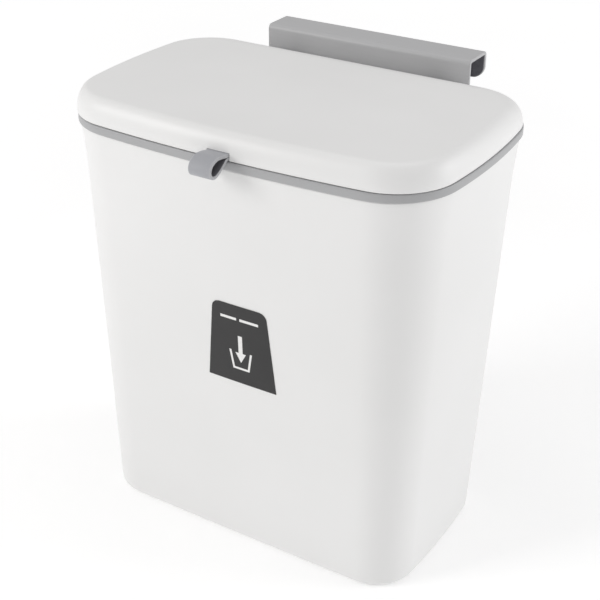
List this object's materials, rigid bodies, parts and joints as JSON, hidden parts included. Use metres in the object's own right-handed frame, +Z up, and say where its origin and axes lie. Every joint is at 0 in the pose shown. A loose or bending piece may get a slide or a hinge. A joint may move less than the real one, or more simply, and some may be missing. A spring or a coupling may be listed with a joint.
{
  "type": "hanging kitchen waste bin",
  "caption": "Tapered bucket with a bag ring, a hinged flip lid with a pull strap, and a hook that hangs it over a cabinet door.",
  "frame": {"origin": "centre of the rim's outline, on the plane the base stands on", "axes": "+Z up, -Y the front with the pull strap, +X to the right seen from the front"},
  "size_m": [0.245, 0.1987, 0.2842],
  "materials": {
    "white_plastic": "fine satin",
    "grey_plastic": "satin",
    "hook_plastic": "satin",
    "steel": "plain",
    "silicone": "soft matt",
    "seal": "soft matt",
    "foam": "matt foam",
    "label_film": "satin film"
  },
  "bodies": {
    "bucket": {"bucket": "white_plastic", "label": "label_film"},
    "ring": {"bag_ring": "grey_plastic"},
    "lid": {"lid_shell": "white_plastic", "lid_liner": "white_plastic", "lid_gasket": "seal", "liner_screws": "steel", "hinge_pin_left": "steel", "hinge_pin_right": "steel", "pull_strap": "silicone", "strap_clamp": "grey_plastic", "strap_screws": "steel"},
    "hook": {"door_hook": "hook_plastic", "hook_pad_front": "foam", "hook_pad_back": "foam"}
  },
  "joints": [
    {"name": "ring_lift", "type": "slide", "parent": "bucket", "child": "ring", "axis": [0, 0, 1], "range_m": [0, 0.06]},
    {"name": "lid_hinge", "type": "hinge", "parent": "ring", "child": "lid", "pos_m": [0, 0.071, 0.268], "axis": [-1, 0, 0], "range_deg": [0, 90]},
    {"name": "hook_release", "type": "slide", "parent": "bucket", "child": "hook", "axis": [0, 0, -1], "range_m": [0, 0.045]}
  ]
}
